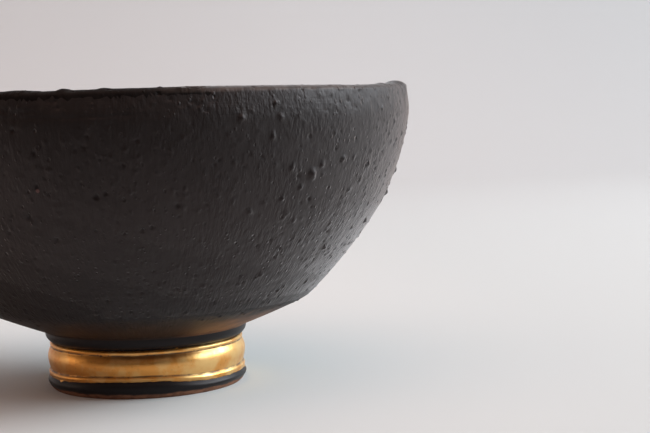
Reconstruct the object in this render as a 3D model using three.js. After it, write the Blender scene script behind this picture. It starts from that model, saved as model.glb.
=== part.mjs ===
// A hand-thrown black stoneware bowl on a turned foot with a gilded band.
// Millimetres, +Z up, origin at the middle of the flat ring that the bowl stands on.
import * as THREE from 'three';

// The bowl
const rimRadius = 60.1; // widest, a little under the lip
const widestHeight = 59.3;
const bowlHeight = 65;
const wallThickness = 4.5;
const floorHeight = 14.6; // inside floor above the table
const lipRise = 1; // height of the rounded lip
const lipInset = 0.5; // how far the lip turns in from the widest part

// The belly's soft corners, left by the trimming tool, and how far the stretches between them bow out
const hip = new THREE.Vector2(37, 19.05);
const shoulder = new THREE.Vector2(53.45, 38.85);
const undersideBow = 0.15;
const bellyBow = 0.75;
const wallBow = 0.95;
const lipBow = 0.05;

// The inside: its direction where wall and floor meet, and how far each curve keeps its direction
const bendDirection = new THREE.Vector2(0.52, 0.854);
const wallReach = 9.2;
const floorReach = 13.4;
const floorSpread = 24;

// The foot, from the bare clay edge up to the waist below the belly
const footRadius = 22.15; // the lowest ring, the foot's widest
const footHeight = 12.9;
const restInset = 1.2; // from the foot's widest in to the flat ring
const restWidth = 5.2; // flat ring that the bowl stands on
const bareHeight = 0.8; // where the slip ends
const bareInset = 0.5;
const ringInset = 0.6; // where the lowest ring meets the gilding
const ringBow = 0.55;
const waistBow = 0.55;
const bellyStartRadius = footRadius + 0.25;

// The hollow under the foot
const hollowDepth = 7;
const hollowTaper = 0.8;
const hollowCorner = new THREE.Vector2(2.2, 2);
const hollowBow = -0.6;

// The gilded band: a roll between two beads
const bandBottom = 3.85;
const bandTop = 10.3;
const bottomBead = 1; // height of each bead
const topBead = 1;
const beadBow = 0.4;
const rollBow = 0.65;
const lowGrooveRadius = footRadius - 0.8; // the lines cut between beads and roll
const highGrooveRadius = footRadius - 0.95;
const neckRadius = footRadius - 1.25; // the foot's narrowest, just above the band

// What the hand leaves: the rim rises, falls and is a little oval
const rimOvalness = 0.25;
const ovalTurn = 0.9;
const slowSway = 0.19;
const slowTurn = 0.4;
const quickSway = 0.16;
const quickWaves = 5;
const quickTurn = 1.9;

// Facets around the axis
const turns = 72;

// Finishes, in the order of the mesh's material groups
const slip = 0;
const gilding = 1;
const bareClay = 2;
const materials = [
  new THREE.MeshStandardMaterial({ color: 0x252325, roughness: 0.8, metalness: 0 }),
  new THREE.MeshStandardMaterial({ color: 0xd8a860, roughness: 0.35, metalness: 1 }),
  new THREE.MeshStandardMaterial({ color: 0x6e4a38, roughness: 0.9, metalness: 0 }),
];

function at(radius, height) {
  return new THREE.Vector2(radius, height);
}

function straight(from, to) {
  return new THREE.LineCurve(from, to);
}

// Bows out to the right of its direction, which is outward on the way up
function bow(from, to, rise) {
  const along = to.clone().sub(from);
  const outward = at(along.y, -along.x).normalize();
  const middle = from.clone().add(to).multiplyScalar(0.5);
  return new THREE.QuadraticBezierCurve(from, middle.addScaledVector(outward, 2 * rise), to);
}

// The hollow under the foot, from the axis out to the flat ring
function underside() {
  const restOuter = at(footRadius - restInset, 0);
  const restInner = at(restOuter.x - restWidth, 0);
  const wallTop = at(restInner.x - hollowTaper, hollowDepth - hollowCorner.y);
  const ceilingEdge = at(wallTop.x - hollowCorner.x, hollowDepth);
  return [
    { curve: straight(at(0, hollowDepth), ceilingEdge), steps: 1, finish: bareClay },
    { curve: bow(ceilingEdge, wallTop, hollowBow), steps: 2, finish: bareClay },
    { curve: straight(wallTop, restInner), steps: 1, finish: bareClay },
    { curve: straight(restInner, restOuter), steps: 1, finish: bareClay },
  ];
}

// The outside of the foot: bare edge, black ring, gilded mouldings and the rounded waist
function foot() {
  const restOuter = at(footRadius - restInset, 0);
  const slipEdge = at(footRadius - bareInset, bareHeight);
  const ringTop = at(footRadius - ringInset, bandBottom);
  const lowGroove = at(lowGrooveRadius, bandBottom + bottomBead);
  const highGroove = at(highGrooveRadius, bandTop - topBead);
  const neck = at(neckRadius, bandTop);
  return [
    { curve: straight(restOuter, slipEdge), steps: 1, finish: bareClay },
    { curve: bow(slipEdge, ringTop, ringBow), steps: 4, finish: slip },
    { curve: bow(ringTop, lowGroove, beadBow), steps: 3, finish: gilding },
    { curve: bow(lowGroove, highGroove, rollBow), steps: 5, finish: gilding },
    { curve: bow(highGroove, neck, beadBow), steps: 3, finish: gilding },
    { curve: bow(neck, at(bellyStartRadius, footHeight), waistBow), steps: 4, finish: slip },
  ];
}

// The outside of the bowl: trimmed underside, lower belly, wall and the slight turn in below the lip
function belly() {
  const start = at(bellyStartRadius, footHeight);
  const widest = at(rimRadius, widestHeight);
  const lipOuter = at(rimRadius - lipInset, bowlHeight - lipRise);
  return [
    { curve: bow(start, hip, undersideBow), steps: 3, finish: slip },
    { curve: bow(hip, shoulder, bellyBow), steps: 5, finish: slip },
    { curve: bow(shoulder, widest, wallBow), steps: 5, finish: slip },
    { curve: bow(widest, lipOuter, lipBow), steps: 1, finish: slip },
  ];
}

// The rounded lip and the plain inside, down to the floor's middle
function inside() {
  const halfWall = wallThickness / 2;
  const lipMiddle = at(rimRadius - lipInset - halfWall, bowlHeight - lipRise);
  const lip = new THREE.EllipseCurve(lipMiddle.x, lipMiddle.y, halfWall, lipRise, 0, Math.PI);
  const top = at(lipMiddle.x - halfWall, lipMiddle.y);
  const bend = at(shoulder.x - wallThickness, shoulder.y);
  const aboveBend = bend.clone().addScaledVector(bendDirection, wallReach);
  const belowBend = bend.clone().addScaledVector(bendDirection, -floorReach);
  const wall = new THREE.CubicBezierCurve(top, at(top.x, top.y - wallReach), aboveBend, bend);
  const spread = at(floorSpread, floorHeight);
  const bowlFloor = new THREE.CubicBezierCurve(bend, belowBend, spread, at(0, floorHeight));
  return [
    { curve: lip, steps: 6, finish: slip },
    { curve: wall, steps: 5, finish: slip },
    { curve: bowlFloor, steps: 9, finish: slip },
  ];
}

// Puts the lathe's triangles in one run for each finish
function groupByFinish(lathe, rowFinish) {
  const pointsInOutline = rowFinish.length + 1;
  const runs = materials.map(() => []);
  const quadIndices = 6;
  for (let k = 0; k < lathe.index.count; k += quadIndices) {
    const row = lathe.index.array[k] % pointsInOutline;
    runs[rowFinish[row]].push(...lathe.index.array.slice(k, k + quadIndices));
  }
  lathe.setIndex(runs.flat());
  let start = 0;
  runs.forEach((run, finish) => {
    lathe.addGroup(start, run.length, finish);
    start += run.length;
  });
}

// Gives the turned form the slow waves of hand throwing, from none at the foot to most at the rim
function throwByHand(geometry) {
  const places = geometry.attributes.position;
  const place = new THREE.Vector3();
  for (let i = 0; i < places.count; i += 1) {
    place.fromBufferAttribute(places, i);
    const angle = Math.atan2(place.y, place.x);
    const share = Math.max(0, (place.z - footHeight) / (bowlHeight - footHeight)) ** 2;
    const stretch = 1 + (rimOvalness / rimRadius) * share * Math.cos(2 * angle + ovalTurn);
    const slowLift = slowSway * Math.sin(2 * angle + slowTurn);
    const quickLift = quickSway * Math.sin(quickWaves * angle + quickTurn);
    const lift = share * (slowLift + quickLift);
    places.setXYZ(i, place.x * stretch, place.y * stretch, place.z + lift);
  }
  geometry.computeVertexNormals();
}

function makeBowl() {
  const outline = [...underside(), ...foot(), ...belly(), ...inside()];
  const points = outline.flatMap(({ curve, steps }, i) => curve.getPoints(steps).slice(i ? 1 : 0));
  const rowFinish = outline.flatMap(({ steps, finish }) => new Array(steps).fill(finish));
  const geometry = new THREE.LatheGeometry(points, turns);
  groupByFinish(geometry, rowFinish);
  geometry.rotateX(Math.PI / 2);
  throwByHand(geometry);
  const bowl = new THREE.Mesh(geometry, materials);
  bowl.name = 'bowl';
  return bowl;
}

const group = new THREE.Group();
group.add(makeBowl());

export default group;
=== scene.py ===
import math

import bpy
from mathutils import Matrix, Vector
from mathutils.geometry import interpolate_bezier


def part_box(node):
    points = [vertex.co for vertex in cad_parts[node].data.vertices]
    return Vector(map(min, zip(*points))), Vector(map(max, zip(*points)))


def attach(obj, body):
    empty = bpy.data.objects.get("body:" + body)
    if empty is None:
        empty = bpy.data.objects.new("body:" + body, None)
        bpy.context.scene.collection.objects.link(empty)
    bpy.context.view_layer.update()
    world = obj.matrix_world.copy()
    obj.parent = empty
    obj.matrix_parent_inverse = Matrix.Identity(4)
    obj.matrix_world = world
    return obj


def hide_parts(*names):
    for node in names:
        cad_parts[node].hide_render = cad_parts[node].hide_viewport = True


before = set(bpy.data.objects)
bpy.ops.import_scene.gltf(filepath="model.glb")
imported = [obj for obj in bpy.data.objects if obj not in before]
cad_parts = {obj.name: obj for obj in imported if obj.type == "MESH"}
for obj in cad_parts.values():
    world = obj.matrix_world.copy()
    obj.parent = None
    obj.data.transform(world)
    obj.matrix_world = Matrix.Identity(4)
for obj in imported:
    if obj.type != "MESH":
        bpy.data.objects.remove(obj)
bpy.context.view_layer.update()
mm = 0.001
print("frame loaded:", sorted(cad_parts))


# node helpers, for geometry trees and materials alike

def addNode(tree, kind, inputs=None, **settings):
    node = tree.nodes.new(kind)
    for name, value in settings.items():
        setattr(node, name, value)
    for key, value in (inputs or {}).items():
        if isinstance(value, bpy.types.NodeSocket):
            tree.links.new(value, node.inputs[key])
        else:
            node.inputs[key].default_value = value
    return node


def firstOut(tree, kind, inputs=None, **settings):
    return addNode(tree, kind, inputs, **settings).outputs[0]


def calc(tree, operation, *values):
    return firstOut(tree, "ShaderNodeMath", dict(enumerate(values)), operation=operation)


def total(tree, *values):
    result = values[0]
    for value in values[1:]:
        result = calc(tree, "ADD", result, value)
    return result


def product(tree, *values):
    result = values[0]
    for value in values[1:]:
        result = calc(tree, "MULTIPLY", result, value)
    return result


def centred(tree, share):
    return calc(tree, "SUBTRACT", share, 0.5)


def opposite(tree, share):
    return calc(tree, "SUBTRACT", 1.0, share)


def vector(tree, operation, *values):
    node = addNode(tree, "ShaderNodeVectorMath", dict(enumerate(values)), operation=operation)
    return node.outputs["Value" if operation in ("DOT_PRODUCT", "LENGTH") else "Vector"]


def scaled(tree, value, factor):
    return firstOut(tree, "ShaderNodeVectorMath", {0: value, "Scale": factor}, operation="SCALE")


def combine(tree, x=0.0, y=0.0, z=0.0):
    return firstOut(tree, "ShaderNodeCombineXYZ", {"X": x, "Y": y, "Z": z})


def separate(tree, value):
    return addNode(tree, "ShaderNodeSeparateXYZ", {0: value}).outputs


def fade(tree, value, start, end, low=0.0, high=1.0):
    ends = {"Value": value, "From Min": start, "From Max": end, "To Min": low, "To Max": high}
    return firstOut(tree, "ShaderNodeMapRange", ends, interpolation_type="SMOOTHSTEP")


def fadeFrom(tree, value, base, ends, low=0.0, high=1.0):
    return fade(tree, value, base + ends[0], base + ends[1], low, high)


def near(tree, value, middle, reach):
    apart = calc(tree, "ABSOLUTE", calc(tree, "SUBTRACT", value, middle))
    return fade(tree, apart, 0.0, reach, 1.0, 0.0)


def noise(tree, place, size, detail=2.0, output=0):
    inputs = {"Vector": place, "Scale": 1 / size, "Detail": detail}
    return addNode(tree, "ShaderNodeTexNoise", inputs).outputs[output]


def patches(tree, place, size, detail, *ends):
    # noise faded at both ends, which leaves soft patches
    return fade(tree, noise(tree, place, size, detail), *ends)


def around(tree, place):
    return vector(tree, "NORMALIZE", vector(tree, "MULTIPLY", place, (1, 1, 0)))


def towards(tree, place, side, *ends):
    # most on the side of the bowl that faces the given way
    return fade(tree, vector(tree, "DOT_PRODUCT", around(tree, place), side), *ends)


# a Mix node keeps its factor in socket 0, plain values in 2 and 3, and colours in 6 and 7

def mixValue(tree, share, first, second):
    return firstOut(tree, "ShaderNodeMix", {0: share, 2: first, 3: second})


def mixColour(tree, share, first, second):
    return addNode(tree, "ShaderNodeMix", {0: share, 6: first, 7: second}, data_type="RGBA").outputs[2]


# trees, meshes and pieces

def newTree(name, kind, inputs, output):
    tree = bpy.data.node_groups.new(name, kind)
    for label, socketType in inputs:
        tree.interface.new_socket(label, in_out="INPUT", socket_type=socketType)
    tree.interface.new_socket(output[0], in_out="OUTPUT", socket_type=output[1])
    return tree, tree.nodes.new("NodeGroupInput").outputs, tree.nodes.new("NodeGroupOutput").inputs


def shapeOf(tree, helper):
    return addNode(tree, "GeometryNodeObjectInfo", {"Object": helper}).outputs["Geometry"]


def readAttribute(tree, label):
    return firstOut(tree, "GeometryNodeInputNamedAttribute", {"Name": label}, data_type="FLOAT")


def storeAttribute(tree, geometry, label, value):
    stored = {"Geometry": geometry, "Name": label, "Value": value}
    return firstOut(tree, "GeometryNodeStoreNamedAttribute", stored, data_type="FLOAT")


def addMesh(name, points, edges=(), faces=()):
    mesh = bpy.data.meshes.new(name)
    mesh.from_pydata(points, edges, faces)
    added = bpy.data.objects.new(name, mesh)
    bpy.context.scene.collection.objects.link(added)
    return added


def addAttribute(piece, label, values):
    piece.data.attributes.new(label, "FLOAT", "POINT").data.foreach_set("value", values)


def growPiece(name, tree, values, keepShare=1.0):
    piece = addMesh(name, [])
    grow = piece.modifiers.new("grow", "NODES")
    grow.node_group = tree
    for socket in tree.interface.items_tree:
        if socket.in_out == "INPUT" and socket.name in values:
            grow[socket.identifier] = values[socket.name]
    if keepShare < 1:
        piece.modifiers.new("lighten", "DECIMATE").ratio = keepShare
    evaluated = piece.evaluated_get(bpy.context.evaluated_depsgraph_get())
    mesh = bpy.data.meshes.new_from_object(evaluated)
    piece.modifiers.clear()
    piece.data = mesh
    mesh.name = name
    print(name, "has", sum(len(face.vertices) - 2 for face in mesh.polygons), "triangles")
    return piece


# the turned form: half of its section, from the hollow under the foot round to the middle of the floor

lowCorner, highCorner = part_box("bowl")
bowlForm = {
    "rimRadius": (highCorner.x - lowCorner.x + highCorner.y - lowCorner.y) / 4,
    "widestHeight": 59.3 * mm,
    "height": 65 * mm,
    "wall": 4.5 * mm,
    "floorHeight": 14.6 * mm,
    "lipRise": 1.0 * mm,
    "lipInset": 0.5 * mm,
    "hip": Vector((37, 19.05)) * mm,  # soft corners that the trimming tool left
    "shoulder": Vector((53.45, 38.85)) * mm,
    "undersideBow": 0.15 * mm,
    "bellyBow": 0.75 * mm,
    "wallBow": 0.95 * mm,
    "lipBow": 0.05 * mm,
    "bendDirection": Vector((0.52, 0.854)),  # of the inside, where wall and floor meet
    "wallReach": 9.2 * mm,
    "floorReach": 13.4 * mm,
    "floorSpread": 24 * mm,
    "floorCentre": 4.5 * mm,  # radius of the innermost ring
    "wallSteps": 30,
    "floorSteps": 60,
    "fineStep": 0.27 * mm,  # between the rows of the belly
    "softening": 40,  # passes over the belly's corners
    "turns": 1200,
    "keepShare": 0.16,  # of the faces, once they are swept
}

footForm = {
    "radius": 22.15 * mm,
    "height": 12.9 * mm,
    "bellyStart": 22.4 * mm,
    "restInset": 1.2 * mm,
    "restWidth": 5.2 * mm,
    "bareHeight": 0.8 * mm,  # slip ends here
    "bareInset": 0.5 * mm,
    "ringInset": 0.6 * mm,
    "bandBottom": 3.85 * mm,
    "bandTop": 10.3 * mm,
    "bottomBead": 1.0 * mm,
    "topBead": 1.0 * mm,
    "lowGroove": 21.35 * mm,
    "highGroove": 21.2 * mm,
    "neck": 20.9 * mm,
    "bareBow": 0.05 * mm,
    "ringBow": 0.55 * mm,
    "beadBow": 0.4 * mm,
    "rollBow": 0.65 * mm,
    "waistBow": 0.55 * mm,
    "hollowDepth": 7 * mm,
    "hollowTaper": 0.8 * mm,
    "hollowCorner": Vector((2.2, 2)) * mm,
    "hollowBow": -0.6 * mm,
    "hollowCentre": 4 * mm,  # radius of the innermost ring
    "sagRight": 1.0 * mm,  # the lower bead was cut by hand and runs lower at the sides
    "sagRightFade": (0.0, 0.65),  # in radii from the middle
    "sagLeft": 0.75 * mm,
    "sagLeftFade": (-0.3, -1.0),
    "fineStep": 0.15 * mm,
    "plainStep": 1 * mm,
    "softening": 2,
}


def bowed(start, end, rise, spacing):
    along = end - start
    control = (start + end) / 2 + Vector((along.y, -along.x)).normalized() * 2 * rise
    count = max(1, math.ceil(along.length / spacing))
    shares = [i / count for i in range(count)]
    return [start * (1 - t) ** 2 + control * 2 * t * (1 - t) + end * t * t for t in shares]


def soften(points, passes):
    for _ in range(passes):
        middle = [(a + b * 2 + c) / 4 for a, b, c in zip(points, points[1:], points[2:])]
        points = [points[0], *middle, points[-1]]
    return points


def bowedThrough(corners, bows, form):
    points = []
    for start, end, rise in zip(corners, corners[1:], bows):
        points += bowed(start, end, rise, form["fineStep"])
    return soften(points + [corners[-1]], form["softening"])[:-1]


def hollowOutline(foot):
    restOuter = Vector((foot["radius"] - foot["restInset"], 0))
    restInner = Vector((restOuter.x - foot["restWidth"], 0))
    wallTop = Vector((restInner.x - foot["hollowTaper"], foot["hollowDepth"] - foot["hollowCorner"].y))
    ceiling = Vector((wallTop.x - foot["hollowCorner"].x, foot["hollowDepth"]))
    step = foot["plainStep"]
    points = [Vector((0, foot["hollowDepth"]))]
    points += bowed(Vector((foot["hollowCentre"], foot["hollowDepth"])), ceiling, 0, step)
    points += bowed(ceiling, wallTop, foot["hollowBow"], step / 2)
    points += bowed(wallTop, restInner, 0, step)
    return points + bowed(restInner, restOuter, 0, step)


def footOutline(foot):
    radius = foot["radius"]
    corners = [
        Vector((radius - foot["restInset"], 0)),
        Vector((radius - foot["bareInset"], foot["bareHeight"])),
        Vector((radius - foot["ringInset"], foot["bandBottom"])),
        Vector((foot["lowGroove"], foot["bandBottom"] + foot["bottomBead"])),
        Vector((foot["highGroove"], foot["bandTop"] - foot["topBead"])),
        Vector((foot["neck"], foot["bandTop"])),
        Vector((foot["bellyStart"], foot["height"])),
    ]
    bows = [foot[key] for key in ("bareBow", "ringBow", "beadBow", "rollBow", "beadBow", "waistBow")]
    return bowedThrough(corners, bows, foot)


def bellyOutline(form, foot):
    corners = [
        Vector((foot["bellyStart"], foot["height"])),
        form["hip"],
        form["shoulder"],
        Vector((form["rimRadius"], form["widestHeight"])),
        Vector((form["rimRadius"] - form["lipInset"], form["height"] - form["lipRise"])),
    ]
    bows = [form[key] for key in ("undersideBow", "bellyBow", "wallBow", "lipBow")]
    return bowedThrough(corners, bows, form)


def lipOutline(form):
    half = form["wall"] / 2
    middle = form["rimRadius"] - form["lipInset"] - half
    base = form["height"] - form["lipRise"]
    count = math.ceil(math.pi * half / form["fineStep"])
    turns = [math.pi * i / count for i in range(count)]
    return [Vector((middle + math.cos(t) * half, base + math.sin(t) * form["lipRise"])) for t in turns]


def insideOutline(form):
    top = Vector((form["rimRadius"] - form["lipInset"] - form["wall"], form["height"] - form["lipRise"]))
    bend = Vector((form["shoulder"].x - form["wall"], form["shoulder"].y))
    middle = Vector((0, form["floorHeight"]))
    belowTop = top - Vector((0, form["wallReach"]))
    aboveBend = bend + form["bendDirection"] * form["wallReach"]
    belowBend = bend - form["bendDirection"] * form["floorReach"]
    spread = Vector((form["floorSpread"], form["floorHeight"]))
    wall = interpolate_bezier(top, belowTop, aboveBend, bend, form["wallSteps"])
    floor = interpolate_bezier(bend, belowBend, spread, middle, form["floorSteps"])
    kept = [p for p in wall[:-1] + floor if p.x > form["floorCentre"]]
    return [Vector(p[:2]) for p in kept] + [middle]


def outlineObject(name, stretches, outsides):
    points = [(p.x, -p.y, 0) for stretch in stretches for p in stretch]
    outline = addMesh(name, points, [(i, i + 1) for i in range(len(points) - 1)])
    addAttribute(outline, "outside", [side for stretch, side in zip(stretches, outsides) for _ in stretch])
    print(name, "has", len(points), "points")
    return outline


# lumps and pits that stand out: degrees from the front, height, radius and rise in millimetres

boldMarks = [
    (35.3, 47.7, 1.25, 0.72), (30, 49.2, 0.8, 0.49), (37.5, 49.5, 0.75, 0.41), (33, 45.2, 0.75, 0.46),
    (25, 55, 0.7, 0.46), (25.5, 61.5, 0.65, 0.43), (26.5, 59, 0.9, 0.35), (18.5, 58.8, 0.95, 0.43),
    (52.5, 48.8, 0.9, 0.43), (43, 50.2, 0.7, 0.41), (48, 43.8, 0.6, 0.32), (29, 43.2, 0.75, 0.43),
    (22, 41, 0.7, 0.35), (31, 27.4, 0.8, 0.38), (50, 31.7, 0.7, 0.38), (66, 36, 0.8, 0.41),
    (77, 41.2, 1, 0.52), (82, 45.8, 1, 0.52), (71.5, 64.9, 4.5, 0.6), (-13.5, 65, 1.9, 0.36),
    (-6, 65, 1.7, 0.22), (-22.5, 57.8, 0.7, -0.49), (-22.5, 41.5, 0.8, -0.43), (-18, 36.9, 0.7, -0.43),
    (-8.5, 45.2, 0.8, -0.49), (-6.6, 45.7, 0.6, -0.38), (0, 38.4, 0.7, -0.41), (2, 38.9, 0.6, -0.35),
    (-2, 45.8, 0.6, 0.29), (7, 42.9, 0.7, -0.38), (-3, 51, 0.6, -0.35), (-19, 53.6, 0.7, -0.41),
    (36, 42.6, 0.65, -0.41), (40.5, 52.4, 0.6, -0.38), (31.8, 47.4, 0.8, -0.35), (-19.5, 47.4, 0.7, -0.43),
    (-22, 64.9, 6, 0.3), (60, 65, 1.5, 0.25),
]


def onWall(outline, degrees, height):
    beside = min(outline, key=lambda p: abs(p.y - height * mm))
    turn = math.radians(degrees)
    return Vector((beside.x * math.sin(turn), -beside.x * math.cos(turn), height * mm))


def marksObject(marks, outline):
    marked = addMesh("marks", [onWall(outline, *mark[:2]) for mark in marks])
    for label, column in (("size", 2), ("rise", 3)):
        addAttribute(marked, label, [mark[column] * mm for mark in marks])
    return marked


# the clay: the outline swept round the axis, with the grit, pits and waves of a hand-thrown wall

clayRelief = {
    "Turns": bowlForm["turns"],
    "Oval": 0.25 * mm,
    "Slow Sway": 0.19 * mm,
    "Quick Sway": 0.16 * mm,
    "Swell": 0.3 * mm,  # slow unevenness of the wall
    "Crust": 0.13 * mm,  # fine unevenness of the slip
    "Grain Radius": 0.65 * mm,
    "Grain Height": 0.24 * mm,
    "Grain Density": 260000.0,  # most per square metre
    "Pit Radius": 0.55 * mm,
    "Pit Depth": 0.28 * mm,
    "Pit Density": 190000.0,
    "Ring Height": 0.12 * mm,  # throwing rings inside
    "Ring Spacing": 4.2 * mm,
    "Seed": 7,
}

# what the tree keeps fixed; a side is a direction and where its share starts and is full
clayDetail = {
    "ovalTurn": 0.9,
    "slowTurn": 0.4,
    "quickWaves": 5,
    "quickTurn": 1.9,
    "bellyFade": (3 * mm, 8 * mm),  # above the foot, where the relief sets in
    "insideGrit": 0.2,  # share of what the outside has
    "gathering": (14 * mm, 2.0, 0.4, 0.62, 0.3, 1.0),  # size, detail, ends of the fade, least and most
    "wanderSize": 1.3 * mm,
    "wanderReach": 1.1 * mm,
    "markSpacing": 1.8,  # least, in radii of the largest mark
    "smallestMark": 0.4,  # share of the largest
    "pitSeedStep": 11,
    "grainStretch": 1.4,  # length up the wall to width
    "pitStretch": 1.2,
    "boldStretch": 1.35,
    "swellSize": 16 * mm,
    "crustSize": 1.9 * mm,
    "grooveSide": ((-0.34, -0.94, 0), 0.86, 0.96),  # one faint groove below part of the rim
    "grooveDrop": 5 * mm,
    "grooveReach": 0.5 * mm,
    "grooveDepth": 0.07 * mm,
    "edgeTilt": 0.3,  # edges between finishes fall to the right, and wander
    "edgeWander": 5 * mm,
    "edgeSettle": 4 * mm,  # from level at the hip
    "rimWander": 20 * mm,
}

# the slip's finishes, dusty above and smooth at the foot, each up to its own top, and a matt stretch of rim
slipFinishes = {
    "Upper Slip": {"sheen": 0.54, "gloss": 0.38},
    "Middle Slip": {"sheen": 0.38, "gloss": 0.35, "top": 36 * mm},
    "Lower Slip": {"sheen": 0.19, "gloss": 0.31, "top": 26 * mm},
    "Foot Slip": {"sheen": 0.0, "gloss": 0.27, "top": 19.6 * mm},
    "Rim Slip": {"sheen": 0.0, "gloss": 0.1, "bottom": 63.4 * mm, "right": 12 * mm},
}


def sweptClay(tree, given):
    axisGap = 0.01 * mm  # radius of the ring that carries the outline
    closing = 2.2 * axisGap  # joins its points on the axis
    profile = firstOut(tree, "GeometryNodeMeshToCurve", {"Mesh": shapeOf(tree, given["Outline"])})
    ringSizes = {"Resolution": given["Turns"], "Radius": axisGap}
    ring = firstOut(tree, "GeometryNodeCurvePrimitiveCircle", ringSizes)
    turned = firstOut(tree, "GeometryNodeCurveToMesh", {"Curve": ring, "Profile Curve": profile})
    merged = firstOut(tree, "GeometryNodeMergeByDistance", {"Geometry": turned, "Distance": closing})
    return firstOut(tree, "GeometryNodeFlipFaces", {"Mesh": merged})


def scatterMarks(tree, mesh, share, seed, radius, height, density, detail):
    apart = calc(tree, "MULTIPLY", radius, detail["markSpacing"])
    spread = {"Mesh": mesh, "Distance Min": apart, "Density Max": density, "Density Factor": share,
              "Seed": seed}
    points = firstOut(tree, "GeometryNodeDistributePointsOnFaces", spread, distribute_method="POISSON")
    chance = addNode(tree, "FunctionNodeRandomValue", {"Min": 0.0, "Max": 1.0, "Seed": seed}).outputs[1]
    smallest = detail["smallestMark"]
    grade = calc(tree, "MULTIPLY_ADD", calc(tree, "POWER", chance, 2.0), 1 - smallest, smallest)
    for label, most in (("size", radius), ("rise", height)):
        points = storeAttribute(tree, points, label, calc(tree, "MULTIPLY", grade, most))
    return points


def markRelief(tree, points, place, stretch):
    # a dome round the nearest mark, longer up the wall than round it, and its share from 0 to 1
    def ofNearest(value, kind):
        found = {"Geometry": points, "Value": value, "Index": nearest}
        return firstOut(tree, "GeometryNodeSampleIndex", found, data_type=kind)

    nearest = firstOut(tree, "GeometryNodeSampleNearest", {"Geometry": points, "Sample Position": place})
    centre = ofNearest(firstOut(tree, "GeometryNodeInputPosition"), "FLOAT_VECTOR")
    size = ofNearest(readAttribute(tree, "size"), "FLOAT")
    rise = ofNearest(readAttribute(tree, "rise"), "FLOAT")
    apart = vector(tree, "SUBTRACT", place, centre)
    tangent = vector(tree, "CROSS_PRODUCT", around(tree, place), (0, 0, 1))
    across = vector(tree, "DOT_PRODUCT", apart, tangent)
    crossed = calc(tree, "MULTIPLY", across, across)
    upward = calc(tree, "SUBTRACT", vector(tree, "DOT_PRODUCT", apart, apart), crossed)
    reach = calc(tree, "ADD", crossed, calc(tree, "DIVIDE", upward, stretch * stretch))
    share = fade(tree, calc(tree, "DIVIDE", calc(tree, "SQRT", reach), size), 0.0, 1.0, 1.0, 0.0)
    return calc(tree, "MULTIPLY", share, rise), share


def handWaves(tree, given, form, foot, detail, x, y, z):
    # the same slow waves as the solid, from none at the foot to most at the rim
    angle = calc(tree, "ARCTAN2", y, x)
    climb = calc(tree, "MAXIMUM", calc(tree, "SUBTRACT", z, foot["height"]), 0.0)
    waved = calc(tree, "POWER", calc(tree, "DIVIDE", climb, form["height"] - foot["height"]), 2.0)
    oval = calc(tree, "COSINE", calc(tree, "MULTIPLY_ADD", angle, 2.0, detail["ovalTurn"]))
    stretch = product(tree, oval, waved, calc(tree, "DIVIDE", given["Oval"], form["rimRadius"]))
    slow = calc(tree, "SINE", calc(tree, "MULTIPLY_ADD", angle, 2.0, detail["slowTurn"]))
    quick = calc(tree, "SINE", calc(tree, "MULTIPLY_ADD", angle, detail["quickWaves"], detail["quickTurn"]))
    sway = total(tree, product(tree, slow, given["Slow Sway"]), product(tree, quick, given["Quick Sway"]))
    lifted = combine(tree, z=product(tree, sway, waved))
    return vector(tree, "ADD", lifted, scaled(tree, combine(tree, x, y), stretch))


def beadSag(tree, flat, z, foot):
    x = separate(tree, flat)["X"]
    right = fade(tree, x, *foot["sagRightFade"], 0.0, foot["sagRight"])
    left = fade(tree, x, *foot["sagLeftFade"], 0.0, foot["sagLeft"])
    share = near(tree, z, foot["bandBottom"], foot["bandBottom"] - foot["bareHeight"])
    return combine(tree, z=product(tree, total(tree, right, left), share, -1.0))


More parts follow.
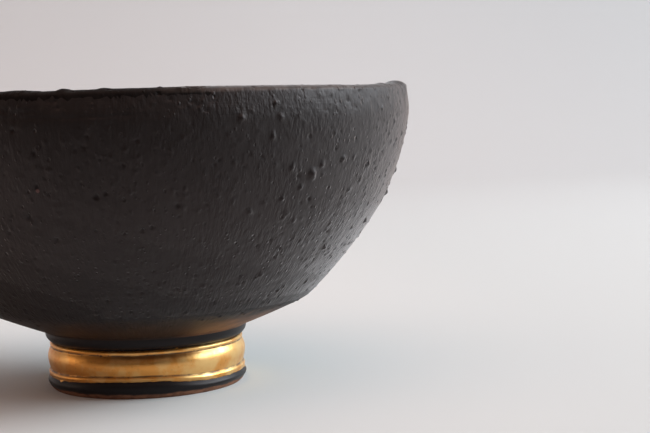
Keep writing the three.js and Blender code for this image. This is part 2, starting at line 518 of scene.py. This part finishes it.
def turnedClayTree(form, foot, detail):
    sizes = [label for label in clayRelief if label not in ("Turns", "Seed")]
    inputs = [("Outline", "NodeSocketObject"), ("Marks", "NodeSocketObject"), ("Turns", "NodeSocketInt"),
              ("Seed", "NodeSocketInt")]
    inputs += [(label, "NodeSocketMaterial") for label in slipFinishes]
    inputs += [(label, "NodeSocketFloat") for label in sizes]
    tree, given, result = newTree("turnedClay", "GeometryNodeTree", inputs, ("Mesh", "NodeSocketGeometry"))
    mesh = sweptClay(tree, given)

    position = firstOut(tree, "GeometryNodeInputPosition")
    normal = firstOut(tree, "GeometryNodeInputNormal")
    outside = readAttribute(tree, "outside")
    x, y, z = separate(tree, position)
    belly = fadeFrom(tree, z, foot["height"], detail["bellyFade"])
    gritShare = calc(tree, "MULTIPLY_ADD", outside, 1 - detail["insideGrit"], detail["insideGrit"])
    gritty = product(tree, belly, gritShare)

    # grains and pits gather in patches, and their outlines are not quite round
    share = product(tree, gritty, patches(tree, position, *detail["gathering"]))
    shift = noise(tree, position, detail["wanderSize"], 2.0, "Color")
    wander = vector(tree, "SUBTRACT", shift, (0.5, 0.5, 0.5))
    place = vector(tree, "ADD", position, scaled(tree, wander, detail["wanderReach"]))
    grains = scatterMarks(tree, mesh, share, given["Seed"], given["Grain Radius"], given["Grain Height"],
                          given["Grain Density"], detail)
    pitSeed = calc(tree, "ADD", given["Seed"], detail["pitSeedStep"])
    pitHeight = calc(tree, "MULTIPLY", given["Pit Depth"], -1.0)
    pits = scatterMarks(tree, mesh, share, pitSeed, given["Pit Radius"], pitHeight,
                        given["Pit Density"], detail)
    marks = firstOut(tree, "GeometryNodeMeshToPoints", {"Mesh": shapeOf(tree, given["Marks"])})
    grainRise = markRelief(tree, grains, place, detail["grainStretch"])[0]
    pitRise, pitShare = markRelief(tree, pits, place, detail["pitStretch"])
    boldRise, boldShare = markRelief(tree, marks, place, detail["boldStretch"])

    # slow swell, fine crust, throwing rings inside and the groove
    swelling = centred(tree, noise(tree, position, detail["swellSize"], 3.0))
    swell = product(tree, swelling, belly, given["Swell"])
    crusty = centred(tree, noise(tree, position, detail["crustSize"], 3.0))
    crust = product(tree, crusty, gritty, given["Crust"])
    ringRise = calc(tree, "DIVIDE", given["Ring Spacing"], math.tau)
    turn = total(tree, calc(tree, "DIVIDE", z, ringRise), calc(tree, "ARCTAN2", y, x))
    inner = product(tree, opposite(tree, outside), belly)
    rings = product(tree, calc(tree, "SINE", turn), inner, given["Ring Height"])
    atGroove = near(tree, z, form["height"] - detail["grooveDrop"], detail["grooveReach"])
    grooveSide = towards(tree, position, *detail["grooveSide"])
    groove = product(tree, atGroove, outside, grooveSide, -detail["grooveDepth"])
    height = total(tree, grainRise, pitRise, boldRise, swell, crust, rings, groove)

    waves = handWaves(tree, given, form, foot, detail, x, y, z)
    moved = vector(tree, "ADD", scaled(tree, normal, height), waves)
    sag = beadSag(tree, around(tree, position), z, foot)
    moved = vector(tree, "ADD", moved, scaled(tree, sag, outside))
    boldPits = product(tree, boldShare, calc(tree, "LESS_THAN", boldRise, 0.0))
    mesh = storeAttribute(tree, mesh, "sunk", total(tree, product(tree, pitShare, gritty), boldPits))
    mesh = firstOut(tree, "GeometryNodeSetPosition", {"Geometry": mesh, "Offset": moved})
    mesh = firstOut(tree, "GeometryNodeSetShadeSmooth", {"Geometry": mesh})
    mesh = firstOut(tree, "GeometryNodeRealizeInstances", {"Geometry": mesh})

    tilted = product(tree, x, detail["edgeTilt"])
    wandering = total(tree, z, tilted, product(tree, crusty, detail["edgeWander"]))
    settled = fadeFrom(tree, z, form["hip"].y, (0.0, detail["edgeSettle"]))
    level = mixValue(tree, settled, z, wandering)
    underFoot = calc(tree, "LESS_THAN", z, foot["height"])
    for label, finish in slipFinishes.items():
        covered = {"Geometry": mesh, "Material": given[label]}
        if "top" in finish:
            low = product(tree, calc(tree, "LESS_THAN", level, finish["top"]), outside)
            covered["Selection"] = calc(tree, "MAXIMUM", low, underFoot)
        if "bottom" in finish:
            high = product(tree, calc(tree, "GREATER_THAN", z, finish["bottom"]), outside)
            beside = total(tree, x, product(tree, crusty, detail["rimWander"]))
            covered["Selection"] = product(tree, high, calc(tree, "LESS_THAN", beside, finish["right"]))
        mesh = firstOut(tree, "GeometryNodeSetMaterial", covered)
    tree.links.new(mesh, result[0])
    return tree


# materials

def newMaterial(name):
    material = bpy.data.materials.new(name)
    material.use_nodes = True
    return material, material.node_tree, material.node_tree.nodes["Principled BSDF"]


def ownAttribute(tree, label):
    return addNode(tree, "ShaderNodeAttribute", attribute_name=label).outputs["Fac"]


def addRelief(tree, shader, height):
    bump = firstOut(tree, "ShaderNodeBump", {"Strength": 1.0, "Distance": 1.0, "Height": height})
    tree.links.new(bump, shader.inputs["Normal"])


def stretched(tree, place, radius, sizes, detail=2.0):
    # noise with its own size round the axis and up it
    flat = scaled(tree, around(tree, place), radius / sizes[0])
    rise = calc(tree, "DIVIDE", separate(tree, place)["Z"], sizes[1])
    return noise(tree, vector(tree, "ADD", flat, combine(tree, z=rise)), 1.0, detail)


def specksGroup():
    # scattered round specks, for grit and pinholes in the slip and worn dots in the gold
    smallest = 0.4  # share of the largest
    core = 0.3  # share of a speck that is full
    inputs = [("Place", "NodeSocketVector"), ("Spacing", "NodeSocketFloat"), ("Share", "NodeSocketFloat"),
              ("Reach", "NodeSocketFloat")]
    tree, given, result = newTree("specks", "ShaderNodeTree", inputs, ("Mask", "NodeSocketFloat"))
    cells = {"Vector": given["Place"], "Scale": calc(tree, "DIVIDE", 1.0, given["Spacing"])}
    cell = addNode(tree, "ShaderNodeTexVoronoi", cells)
    chance, grade = addNode(tree, "ShaderNodeSeparateColor", {0: cell.outputs["Color"]}).outputs[:2]
    reach = calc(tree, "DIVIDE", given["Reach"], given["Spacing"])
    graded = product(tree, reach, calc(tree, "MULTIPLY_ADD", grade, 1 - smallest, smallest))
    dot = fade(tree, cell.outputs["Distance"], product(tree, graded, core), graded, 1.0, 0.0)
    tree.links.new(product(tree, dot, calc(tree, "LESS_THAN", chance, given["Share"])), result[0])
    return tree


def specks(tree, group, place, spacing, share, reach):
    inputs = {"Place": place, "Spacing": spacing, "Share": share, "Reach": reach}
    return firstOut(tree, "ShaderNodeGroup", inputs, node_tree=group)


# patches: size, detail, ends of the fade, least and most; sides: a direction and the same
slipLook = {
    "black": (0.0054, 0.0047, 0.0047, 1),
    "dusty": (0.0125, 0.0108, 0.0105, 1),
    "mottle": (11 * mm, 4.0, 0.35, 0.72),
    "mottleShare": 0.55,  # of the dust; the brush marks hold the rest
    "brushFade": (0.4, 0.72),
    # painted shade: pits and pinholes are darkened towards this colour
    "hole": (0.003, 0.0026, 0.0027, 1),
    "sunkShade": 0.6,
    "pinholeShade": 0.8,
    "mostShade": 0.9,
    "lip": (0.060, 0.046, 0.040, 1),  # rubbed brownish along part of the lip
    "lipFade": (-1.4 * mm, -0.9 * mm),  # from the rim's height
    "lipSide": ((0.45, -0.89, 0), 0.9, 0.97, 0.05, 1.0),
    "lipPatches": (2.5 * mm, 2.0, 0.3, 0.6, 0.3, 1.0),
    "ring": (0.0070, 0.0072, 0.0080, 1),  # smooth slip on the foot's rings
    "ringDrop": 0.15 * mm,  # from the foot's height to where it ends
    "thin": (0.23, 0.10, 0.043, 1),  # brown where the slip is thin above the foot
    "thinPaintedShade": (0.026, 0.014, 0.009, 1),
    "thinLitSide": ((0.87, -0.5, 0), 0.66, 0.97),  # towards the window, where the brown is painted lighter; away from it, painted shade darkens it
    "thinPatches": (4 * mm, 4.0, 0.3, 0.6, 0.6, 1.0),
    "thinTop": 17.4 * mm,
    "thinFade": (-3 * mm, 1.5 * mm),
    "thinWander": 5 * mm,
    "clay": (0.27, 0.125, 0.072, 1),  # bare edge and underside of the foot
    "clayDark": (0.17, 0.075, 0.045, 1),
    "clayPatches": (1.4 * mm, 4.0, 0.35, 0.7),
    "clayFade": (-0.05 * mm, 0.4 * mm),  # from the slip's end
    "chip": (-19.5, 46.5),  # a grain of bare clay: degrees from the front and height in millimetres
    "chipClay": (0.10, 0.048, 0.044, 1),
    "chipSize": 0.5 * mm,
    "wander": (5 * mm, 1.2 * mm),  # of the edges: size and reach, and the finer one's
    "finerWander": (1.2 * mm, 0.35 * mm),
    "bellyFade": (2.5 * mm, 7 * mm),  # above the foot, where the relief sets in
    "brushMark": (0.8 * mm, 4 * mm),  # width and length
    "stroke": (0.6 * mm, 1.6 * mm),
    "strokePatches": (6 * mm, 3.0, 0.38, 0.6, 0.3, 1.0),
    "turningLine": (14 * mm, 0.45 * mm),
    "linePatches": (9 * mm, 2.0, 0.5, 0.62),
    "lineFade": (-9 * mm, -5 * mm),  # from the rim's height
    "grit": (1.05 * mm, 0.5, 0.42 * mm),  # spacing, share of the places and reach
    "pinholes": (1.9 * mm, 0.36, 0.5 * mm),
    "pinholeShift": (0.3, 0.7, 0.1),
    "speckSquash": (1, 1, 0.7),  # makes them longer up the wall
    "speckPatches": (10 * mm, 2.0, 0.36, 0.62, 0.35, 1.0),
    "toothSize": 0.35 * mm,
    "slipTooth": 0.15,  # share of the bare clay's
    "brushRelief": 0.035 * mm,
    "strokeRelief": 0.2 * mm,
    "lineRelief": 0.06 * mm,
    "gritRelief": 0.12 * mm,
    "pinholeRelief": 0.24 * mm,
    "toothRelief": 0.05 * mm,
    "roughness": 0.54,
    "strokeRoughness": 0.25,  # how much the strokes change it
    "ringRoughness": 0.42,
    "clayRoughness": 0.85,
    "glossTint": (1.0, 0.82, 0.81, 1),
    "sheenRoughness": 0.38,
    "sheenTint": (1.0, 0.92, 0.91, 1),
}


def slipMaterial(name, look, finish, form, foot, outline, specksTree):
    material, tree, shader = newMaterial(name)
    place = addNode(tree, "ShaderNodeTexCoord").outputs["Object"]
    z = separate(tree, place)["Z"]
    outside = ownAttribute(tree, "outside")
    sunk = ownAttribute(tree, "sunk")
    wander = centred(tree, noise(tree, place, look["wander"][0], 3.0))
    finer = centred(tree, noise(tree, place, look["finerWander"][0], 3.0))

    # where each finish lies, by height with wandering edges
    level = total(tree, z, product(tree, wander, look["wander"][1]))
    level = total(tree, level, product(tree, finer, look["finerWander"][1]))
    edge = fadeFrom(tree, level, foot["bareHeight"], look["clayFade"], 1.0, 0.0)
    inner = calc(tree, "LESS_THAN", outside, 0.5)
    bare = calc(tree, "MAXIMUM", edge, product(tree, inner, calc(tree, "LESS_THAN", z, foot["bandTop"])))
    above = calc(tree, "GREATER_THAN", z, foot["height"] - look["ringDrop"])
    softTop = total(tree, z, product(tree, wander, look["thinWander"]))
    thinning = fadeFrom(tree, softTop, look["thinTop"], look["thinFade"], 1.0, 0.0)
    thin = product(tree, above, outside, thinning)
    rings = product(tree, opposite(tree, above), outside)
    belly = fadeFrom(tree, z, foot["height"], look["bellyFade"])
    lip = product(tree, fadeFrom(tree, z, form["height"], look["lipFade"]), outside)

    # brush marks and short strokes up the wall, turning lines under the lip, grit and pinholes
    radius = form["shoulder"].x
    brushed = stretched(tree, place, radius, look["brushMark"], 3.0)
    strokes = stretched(tree, place, radius, look["stroke"])
    combed = patches(tree, place, *look["strokePatches"])
    lines = stretched(tree, place, radius, look["turningLine"])
    underLip = fadeFrom(tree, z, form["height"], look["lineFade"])
    lined = product(tree, underLip, patches(tree, place, *look["linePatches"]))
    squashed = vector(tree, "MULTIPLY", place, look["speckSquash"])
    shifted = vector(tree, "ADD", squashed, look["pinholeShift"])
    gritty = patches(tree, place, *look["speckPatches"])
    grit = product(tree, specks(tree, specksTree, squashed, *look["grit"]), gritty, belly)
    pinholes = product(tree, specks(tree, specksTree, shifted, *look["pinholes"]), gritty, belly)

    mottle = product(tree, patches(tree, place, *look["mottle"]), look["mottleShare"])
    brushing = product(tree, fade(tree, brushed, *look["brushFade"]), 1 - look["mottleShare"])
    colour = mixColour(tree, total(tree, mottle, brushing), look["black"], look["dusty"])
    lipSide = towards(tree, place, *look["lipSide"])
    rubbed = product(tree, lip, lipSide, patches(tree, place, *look["lipPatches"]))
    colour = mixColour(tree, rubbed, colour, look["lip"])
    colour = mixColour(tree, rings, colour, look["ring"])
    # painted light and shade: the thin brown is lighter on the window's side and darker away from it, in
    # patches
    thinLitSide = towards(tree, place, *look["thinLitSide"])
    thinLitShare = product(tree, thinLitSide, patches(tree, place, *look["thinPatches"]))
    colour = mixColour(tree, thin, colour, mixColour(tree, thinLitShare, look["thinPaintedShade"], look["thin"]))
    # painted shade in the pits and pinholes
    shade = product(tree, sunk, look["sunkShade"])
    shade = total(tree, shade, product(tree, pinholes, look["pinholeShade"]))
    colour = mixColour(tree, calc(tree, "MINIMUM", shade, look["mostShade"]), colour, look["hole"])
    clay = mixColour(tree, patches(tree, place, *look["clayPatches"]), look["clay"], look["clayDark"])
    colour = mixColour(tree, bare, colour, clay)
    apart = vector(tree, "LENGTH", vector(tree, "SUBTRACT", place, onWall(outline, *look["chip"])))
    chip = fade(tree, apart, look["chipSize"] / 2, look["chipSize"], 1.0, 0.0)
    colour = mixColour(tree, chip, colour, look["chipClay"])
    tree.links.new(colour, shader.inputs["Base Color"])

    rough = calc(tree, "MULTIPLY_ADD", centred(tree, strokes), look["strokeRoughness"], look["roughness"])
    rough = mixValue(tree, rings, rough, look["ringRoughness"])
    rough = mixValue(tree, bare, rough, look["clayRoughness"])
    tree.links.new(rough, shader.inputs["Roughness"])

    toothShare = calc(tree, "MAXIMUM", bare, look["slipTooth"])
    relief = total(
        tree,
        product(tree, brushed, belly, look["brushRelief"]),
        product(tree, strokes, combed, belly, look["strokeRelief"]),
        product(tree, lines, lined, look["lineRelief"]),
        product(tree, grit, look["gritRelief"]),
        product(tree, pinholes, -look["pinholeRelief"]),
        product(tree, noise(tree, place, look["toothSize"]), toothShare, look["toothRelief"]),
    )
    addRelief(tree, shader, relief)
    shader.inputs["Specular IOR Level"].default_value = finish["gloss"]
    shader.inputs["Specular Tint"].default_value = look["glossTint"]
    shader.inputs["Sheen Weight"].default_value = finish["sheen"]
    shader.inputs["Sheen Roughness"].default_value = look["sheenRoughness"]
    shader.inputs["Sheen Tint"].default_value = look["sheenTint"]
    return material


# the bowl

specksTree = specksGroup()
footPoints = footOutline(footForm)
wallPoints = bellyOutline(bowlForm, footForm)
lipPoints = lipOutline(bowlForm)
slips = {
    label: slipMaterial(label, slipLook, finish, bowlForm, footForm, wallPoints, specksTree)
    for label, finish in slipFinishes.items()
}
stretches = [hollowOutline(footForm), footPoints, wallPoints, lipPoints, insideOutline(bowlForm)]
section = outlineObject("section", stretches, (0, 1, 1, 1, 0))
marked = marksObject(boldMarks, wallPoints + lipPoints)
bowlValues = {**clayRelief, **slips, "Outline": section, "Marks": marked}
clayTree = turnedClayTree(bowlForm, footForm, clayDetail)
bowl = growPiece("thrownBowl", clayTree, bowlValues, bowlForm["keepShare"])
for helper in (section, marked):
    bpy.data.objects.remove(helper)
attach(bowl, "root")
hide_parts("bowl")


# the gold: a thin leaf laid over the foot's mouldings, with torn edges

goldLook = {
    "bright": (0.93, 0.59, 0.235, 1),
    "deep": (0.84, 0.37, 0.09, 1),
    "deepFade": (0.38, 0.7),
    "deepReflectionSide": ((-0.64, -0.77, 0), 0.2, 0.9),  # the front-left side, where a painted reflection of darker, warmer surroundings makes the leaf deeper and redder
    "deepReflectionShare": 0.5,
    "bole": (0.045, 0.020, 0.012, 1),  # dark ground where the leaf is worn or missing, also laid along the grooves in patches
    "boleDull": 0.9,  # how much of the metal it takes away
    "dots": (0.7 * mm, 0.34, 0.4 * mm),  # worn ones: spacing, share of the places and reach
    "dotFade": (0.42, 0.6),
    "dotsOffGrooves": 0.15,  # share of what the grooves have
    "grooveDark": (2.2 * mm, 3.0, 0.35, 0.6, 0.4, 1.0),  # where the grooves are darker, in patches
    "grooveDarkShare": 0.85,
    "mostDulled": 0.97,
    "darkReflection": (0.22, 0.09, 0.03, 1),  # painted dark reflection of the belly above, under the upper groove and on the lower bead, on the front
    "darkReflectionSide": ((0.1, -0.995, 0), 0.82, 0.95),
    "darkReflectionFade": (-1.5 * mm, -0.45 * mm),  # from the upper groove
    "darkReflectionWander": 1.2 * mm,
    "darkReflectionBead": 0.5,
    "darkReflectionShare": 0.75,
    "grooveReach": 0.32 * mm,
    "cloudSize": 3.5 * mm,
    "fineSize": 0.5 * mm,
    "roughness": 0.37,
    "fineRoughness": 0.3,  # how much the fine noise changes it
    "wrinkle": 0.02 * mm,
    "burnish": (2.2 * mm, 0.28 * mm),  # length and width of the marks left by rubbing
    "burnishRelief": 0.014 * mm,
}


def goldLeaf(look, foot, specksTree):
    material, tree, shader = newMaterial("goldLeaf")
    place = addNode(tree, "ShaderNodeTexCoord").outputs["Object"]
    z = ownAttribute(tree, "bandHeight")
    low = foot["bandBottom"] + foot["bottomBead"]
    high = foot["bandTop"] - foot["topBead"]
    clouds = noise(tree, place, look["cloudSize"], 4.0)
    fine = noise(tree, place, look["fineSize"], 3.0)
    burnished = stretched(tree, place, foot["radius"], look["burnish"], 3.0)

    # worn dots, mostly in the grooves, and the grooves darker in patches
    lowGroove = near(tree, z, low, look["grooveReach"])
    highGroove = near(tree, z, high, look["grooveReach"])
    grooves = calc(tree, "MAXIMUM", lowGroove, highGroove)
    elsewhere = look["dotsOffGrooves"]
    dotPlaces = calc(tree, "MULTIPLY_ADD", grooves, 1 - elsewhere, elsewhere)
    dots = specks(tree, specksTree, place, *look["dots"])
    worn = product(tree, dots, dotPlaces, fade(tree, clouds, *look["dotFade"]))
    grooveDark = product(tree, grooves, patches(tree, place, *look["grooveDark"]))
    dulled = calc(tree, "ADD", worn, product(tree, grooveDark, look["grooveDarkShare"]))
    dulled = calc(tree, "MINIMUM", dulled, look["mostDulled"])

    # painted reflection: deeper and redder on the front-left side, as well as in random patches
    deepReflectionSide = towards(tree, place, *look["deepReflectionSide"])
    deepClouds = fade(tree, clouds, *look["deepFade"])
    redder = calc(tree, "MULTIPLY_ADD", deepReflectionSide, look["deepReflectionShare"], deepClouds)
    colour = mixColour(tree, calc(tree, "MINIMUM", redder, 1.0), look["bright"], look["deep"])
    # painted dark reflection of the belly on the front of the upper roll and on the lower bead
    reflectedDarkHeight = total(tree, z, product(tree, centred(tree, clouds), look["darkReflectionWander"]))
    reflectedDark = fadeFrom(tree, reflectedDarkHeight, high, look["darkReflectionFade"])
    reflectedDark = product(tree, reflectedDark, calc(tree, "LESS_THAN", z, high))
    lowBead = fade(tree, z, low, foot["bandBottom"], 0.0, look["darkReflectionBead"])
    reflectedDark = calc(tree, "MAXIMUM", reflectedDark, lowBead)
    reflectedDark = product(tree, reflectedDark, towards(tree, place, *look["darkReflectionSide"]), look["darkReflectionShare"])
    colour = mixColour(tree, reflectedDark, colour, look["darkReflection"])
    colour = mixColour(tree, dulled, colour, look["bole"])
    tree.links.new(colour, shader.inputs["Base Color"])
    tree.links.new(opposite(tree, product(tree, dulled, look["boleDull"])), shader.inputs["Metallic"])
    rough = calc(tree, "MULTIPLY_ADD", centred(tree, fine), look["fineRoughness"], look["roughness"])
    tree.links.new(rough, shader.inputs["Roughness"])
    relief = total(
        tree,
        product(tree, fine, look["wrinkle"]),
        product(tree, clouds, look["wrinkle"] * 2),
        product(tree, burnished, look["burnishRelief"]),
        product(tree, worn, -look["wrinkle"]),
    )
    addRelief(tree, shader, relief)
    return material


leafForm = {
    "Turns": 620,
    "Rows": 40,
    "Lift": 0.06 * mm,
    "Torn": 0.35 * mm,
    "Flake": 0.8 * mm,
    "Wrinkle": 0.05 * mm,
}

# what the leaf's tree keeps fixed
leafDetail = {
    "tornSize": 0.06,  # in radii of the foot, as the flakes' sizes and shifts are
    "lowFlakes": {"size": 0.16, "shift": 3.1, "share": 0.7},
    "highFlakes": {"size": 0.1, "shift": 8.4, "share": 0.8},
    "flakeFade": (0.62, 0.74),
    "wrinkleSize": 2.4 * mm,
    "sunkShare": 0.6,  # of the lift, below the clay's surface
    "closing": 0.002 * mm,
}


def lengthUpTo(points, height):
    steps = [(b - a).length for a, b in zip(points, points[1:])]
    below = sum(1 for p in points[1:] if p.y <= height)
    return sum(steps[:below])


def leafTree(foot, detail):
    sizes = ("Low Edge", "High Edge", "Lift", "Torn", "Flake", "Wrinkle")
    inputs = [("Outline", "NodeSocketObject"), ("Turns", "NodeSocketInt"), ("Rows", "NodeSocketInt"),
              ("Leaf", "NodeSocketMaterial")] + [(label, "NodeSocketFloat") for label in sizes]
    tree, given, result = newTree("goldLeafBand", "GeometryNodeTree", inputs, ("Mesh", "NodeSocketGeometry"))
    profile = firstOut(tree, "GeometryNodeMeshToCurve", {"Mesh": shapeOf(tree, given["Outline"])})
    across = calc(tree, "ADD", given["Turns"], 1)
    counts = {"Size X": 1.0, "Size Y": 1.0, "Vertices X": across, "Vertices Y": given["Rows"]}
    sheet = firstOut(tree, "GeometryNodeMeshGrid", counts)
    position = firstOut(tree, "GeometryNodeInputPosition")
    x, y = separate(tree, position)[:2]
    angle = product(tree, x, math.tau)
    flat = combine(tree, calc(tree, "COSINE", angle), calc(tree, "SINE", angle))

    def tornEdge(flakes):
        place = vector(tree, "ADD", flat, (0, 0, flakes["shift"]))
        rough = product(tree, centred(tree, noise(tree, place, detail["tornSize"], 3.0)), given["Torn"])
        flaked = patches(tree, place, flakes["size"], 2.0, *detail["flakeFade"])
        return rough, product(tree, flaked, given["Flake"], flakes["share"])

    def closed(geometry):
        closing = {"Geometry": geometry, "Distance": detail["closing"]}
        return firstOut(tree, "GeometryNodeMergeByDistance", closing)

    # the sheet wrapped round the foot, between its two torn edges
    lowRough, lowFlake = tornEdge(detail["lowFlakes"])
    highRough, highFlake = tornEdge(detail["highFlakes"])
    low = calc(tree, "SUBTRACT", calc(tree, "ADD", given["Low Edge"], lowRough), lowFlake)
    high = total(tree, given["High Edge"], highRough, highFlake)
    along = mixValue(tree, calc(tree, "ADD", y, 0.5), low, high)
    sampled = addNode(tree, "GeometryNodeSampleCurve", {"Curves": profile, "Length": along}, mode="LENGTH")
    radius, drop = separate(tree, sampled.outputs["Position"])[:2]
    bandHeight = calc(tree, "MULTIPLY", drop, -1.0)
    place = vector(tree, "ADD", scaled(tree, flat, radius), combine(tree, z=bandHeight))
    place = vector(tree, "ADD", place, beadSag(tree, flat, bandHeight, foot))
    sheet = storeAttribute(tree, sheet, "bandHeight", bandHeight)
    laid = closed(firstOut(tree, "GeometryNodeSetPosition", {"Geometry": sheet, "Position": place}))

    # its thickness, from a little inside the clay
    normal = firstOut(tree, "GeometryNodeInputNormal")
    crinkle = centred(tree, noise(tree, position, detail["wrinkleSize"], 3.0))
    sunk = product(tree, given["Lift"], -detail["sunkShare"])
    raised = scaled(tree, normal, total(tree, product(tree, crinkle, given["Wrinkle"]), sunk))
    based = firstOut(tree, "GeometryNodeSetPosition", {"Geometry": laid, "Offset": raised})
    thickness = product(tree, given["Lift"], 1 + detail["sunkShare"])
    thickening = {"Mesh": based, "Offset Scale": thickness, "Individual": False}
    thick = firstOut(tree, "GeometryNodeExtrudeMesh", thickening)
    back = firstOut(tree, "GeometryNodeFlipFaces", {"Mesh": based})
    both = addNode(tree, "GeometryNodeJoinGeometry", {"Geometry": thick})
    tree.links.new(back, both.inputs[0])
    mesh = firstOut(tree, "GeometryNodeSetShadeSmooth", {"Geometry": closed(both.outputs[0])})
    mesh = firstOut(tree, "GeometryNodeRealizeInstances", {"Geometry": mesh})
    mesh = firstOut(tree, "GeometryNodeSetMaterial", {"Geometry": mesh, "Material": given["Leaf"]})
    tree.links.new(mesh, result[0])
    return tree


footSection = outlineObject("footSection", [footPoints], (1,))
edges = {
    "Low Edge": lengthUpTo(footPoints, footForm["bandBottom"]),
    "High Edge": lengthUpTo(footPoints, footForm["bandTop"]),
}
leafValues = {**leafForm, **edges, "Outline": footSection, "Leaf": goldLeaf(goldLook, footForm, specksTree)}
gold = growPiece("goldBand", leafTree(footForm, leafDetail), leafValues)
bpy.data.objects.remove(footSection)
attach(gold, "root")


# stage, light and camera

stageLook = {
    "floorColour": (0.735, 0.755, 0.76, 1),
    "floorAtRight": (0.685, 0.72, 0.73, 1),  # evens out the window's light
    "floorFade": (0.03, 0.13),
    "wallColour": (0.60, 0.60, 0.61, 1),
    "wallAtRight": (0.50, 0.505, 0.515, 1),
    "wallFade": (0.1, 0.55),
    "roughness": 0.9,
    "left": -3.0,
    "right": 1.2,
    "front": -3.0,
    "fadeStart": 0.1,  # where the floor starts to take on the wall's tone
    "sweepStart": 0.75,
    "sweepRadius": 0.35,
    "sweepSteps": 24,
    "wallHeight": 1.6,
}


def makeFloor(look):
    radius = look["sweepRadius"]
    ends = [(look["front"], 0.0)]
    for i in range(look["sweepSteps"] + 1):
        t = math.pi / 2 * i / look["sweepSteps"]
        ends.append((look["sweepStart"] + math.sin(t) * radius, (1 - math.cos(t)) * radius))
    ends.append((look["sweepStart"] + radius, look["wallHeight"]))
    points = [(x, y, z) for y, z in ends for x in (look["left"], look["right"])]
    faces = [(2 * i, 2 * i + 1, 2 * i + 3, 2 * i + 2) for i in range(len(ends) - 1)]
    floor = addMesh("floor", points, faces=faces)
    floor.data.shade_smooth()
    material, tree, shader = newMaterial("paleFloor")
    x, y = separate(tree, addNode(tree, "ShaderNodeTexCoord").outputs["Object"])[:2]
    wall = fade(tree, y, look["fadeStart"], look["sweepStart"] + radius)
    colours = [
        mixColour(tree, fade(tree, x, *look[part + "Fade"]), look[part + "Colour"], look[part + "AtRight"])
        for part in ("floor", "wall")
    ]
    tree.links.new(mixColour(tree, wall, *colours), shader.inputs["Base Color"])
    shader.inputs["Roughness"].default_value = look["roughness"]
    floor.data.materials.append(material)


# a dark card across the front, out of the camera's sight, keeps the bright floor out of the glossy slip
cardLook = {"colour": (0.02, 0.018, 0.017, 1), "width": 1.2, "height": 0.07, "forward": 0.16}


def makeCard(look):
    half = look["width"] / 2
    corners = ((-half, 0), (half, 0), (half, look["height"]), (-half, look["height"]))
    card = addMesh("card", [(x, -look["forward"], z) for x, z in corners], faces=[(0, 1, 2, 3)])
    card.visible_camera = False
    card.visible_shadow = False
    material, _, shader = newMaterial("darkCard")
    shader.inputs["Base Color"].default_value = look["colour"]
    shader.inputs["Roughness"].default_value = 1.0
    card.data.materials.append(material)


lightLook = {
    "skyColour": (1.0, 0.69, 0.575, 1),  # soft and warm from above
    "skyStrength": 1.06,
    "skyAtHorizon": 0.05,
    "skyRise": (0.35, 0.85),  # sine of the height where the sky brightens
    "skyAtLeft": 0.8,  # dimmer on the bowl's shadow side
    "skySideways": (-0.6, 0.3),
    "skyAtBack": 0.43,  # and behind it
    "skyAtFront": 1.47,
    "skyInward": (-0.7, 0.5),
    "windowColour": (0.80, 0.94, 1.01),
    "windowPower": 61.0,
    "windowSize": (1.75, 1.25),
    "windowPlace": (1.85, 0.0, 0.97),
    "windowAim": (0, 0, 0.35),
    "fillColour": (1.0, 0.86, 0.7),  # weak, low and warm from the left, seen in the gold
    "fillPower": 0.85,
    "fillSize": (0.5, 0.35),
    "fillPlace": (-1.2, 0.17, 0.22),
    "fillAim": (0, 0, 0),
}


def addLamp(name, colour, power, size, place, aim):
    lamp = bpy.data.lights.new(name, "AREA")
    lamp.shape = "RECTANGLE"
    lamp.size, lamp.size_y = size
    lamp.energy = power
    lamp.color = colour
    placed = bpy.data.objects.new(name, lamp)
    placed.location = place
    placed.rotation_euler = (Vector(aim) - Vector(place)).to_track_quat("-Z", "Y").to_euler()
    placed.visible_camera = False
    bpy.context.scene.collection.objects.link(placed)


def makeLight(look):
    world = bpy.data.worlds.new("studio")
    world.use_nodes = True
    tree = world.node_tree
    sky = tree.nodes["Background"]
    sky.inputs["Color"].default_value = look["skyColour"]
    x, y, z = separate(tree, addNode(tree, "ShaderNodeTexCoord").outputs["Generated"])
    upward = fade(tree, z, *look["skyRise"], look["skyAtHorizon"], look["skyStrength"])
    sideways = fade(tree, x, *look["skySideways"], look["skyAtLeft"], 1.0)
    inward = fade(tree, y, *look["skyInward"], look["skyAtFront"], look["skyAtBack"])
    tree.links.new(product(tree, upward, sideways, inward), sky.inputs["Strength"])
    bpy.context.scene.world = world
    for name in ("window", "fill"):
        addLamp(name, *(look[name + part] for part in ("Colour", "Power", "Size", "Place", "Aim")))


cameraLook = {
    "lens": 80.3,  # millimetres, as is the sensor
    "sensor": 36,
    "nearest": 0.01,
    "distance": 0.3262,
    "height": 0.061,
    "yaw": 7.21,  # degrees to the right of the bowl's axis
    "pitch": 4.44,  # down
    "roll": -1.73,
}


def makeCamera(look):
    yaw, pitch, roll = (math.radians(look[key]) for key in ("yaw", "pitch", "roll"))
    ahead = Vector((math.sin(yaw) * math.cos(pitch), math.cos(yaw) * math.cos(pitch), -math.sin(pitch)))
    level = Vector((math.cos(yaw), -math.sin(yaw), 0))
    upright = level.cross(ahead)
    right = level * math.cos(roll) + upright * math.sin(roll)
    up = upright * math.cos(roll) - level * math.sin(roll)
    lens = bpy.data.cameras.new("camera")
    lens.sensor_width = look["sensor"]
    lens.lens = look["lens"]
    lens.clip_start = look["nearest"]
    camera = bpy.data.objects.new("camera", lens)
    axes = Matrix((right, up, -ahead)).transposed().to_4x4()
    camera.matrix_world = Matrix.Translation((0, -look["distance"], look["height"])) @ axes
    bpy.context.scene.collection.objects.link(camera)
    bpy.context.scene.camera = camera


makeFloor(stageLook)
makeCard(cardLook)
makeLight(lightLook)
makeCamera(cameraLook)
bpy.context.scene.view_settings.view_transform = "Standard"
print("stage, light and camera are in place")
